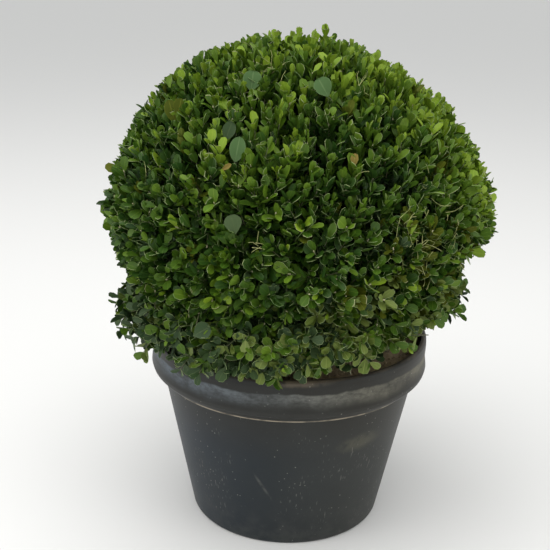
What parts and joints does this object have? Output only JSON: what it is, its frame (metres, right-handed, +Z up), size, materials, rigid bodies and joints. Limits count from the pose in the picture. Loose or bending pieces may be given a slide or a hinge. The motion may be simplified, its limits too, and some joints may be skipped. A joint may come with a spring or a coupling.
{
  "type": "box topiary ball in a plastic pot",
  "caption": "Clipped evergreen box ball with a loose leafy fringe over the rim of a round tapered plastic container pot.",
  "frame": {"origin": "centre of the pot's flat underside, on the ground", "axes": "+Z up along the pot's axis, the front of the plant faces -Y, +X to its right"},
  "size_m": [0.4616, 0.4543, 0.5955],
  "materials": {
    "pot_plastic": "matt charcoal moulded plastic, dusty and scuffed",
    "potting_mix": "dark crumbly peat and bark mix",
    "bark": "pale greyish tan bark, finely fissured",
    "ball_leaves": "glossy small evergreen leaves, mid to deep green",
    "fringe_leaves": "glossy small evergreen leaves, greyer green"
  },
  "bodies": {
    "root": {"container_pot": "pot_plastic", "potting_mix": "potting_mix", "trunk": "bark", "main_bough_1": "bark", "main_bough_2": "bark", "main_bough_3": "bark", "main_bough_4": "bark", "main_bough_5": "bark", "low_bough_1": "bark", "low_bough_2": "bark", "low_bough_3": "bark", "low_bough_4": "bark", "low_bough_5": "bark", "low_bough_6": "bark", "clipped_ball": "ball_leaves", "fringe_1": "fringe_leaves", "fringe_2": "fringe_leaves", "fringe_3": "fringe_leaves", "fringe_4": "fringe_leaves", "fringe_5": "fringe_leaves", "fringe_6": "fringe_leaves"}
  },
  "joints": []
}
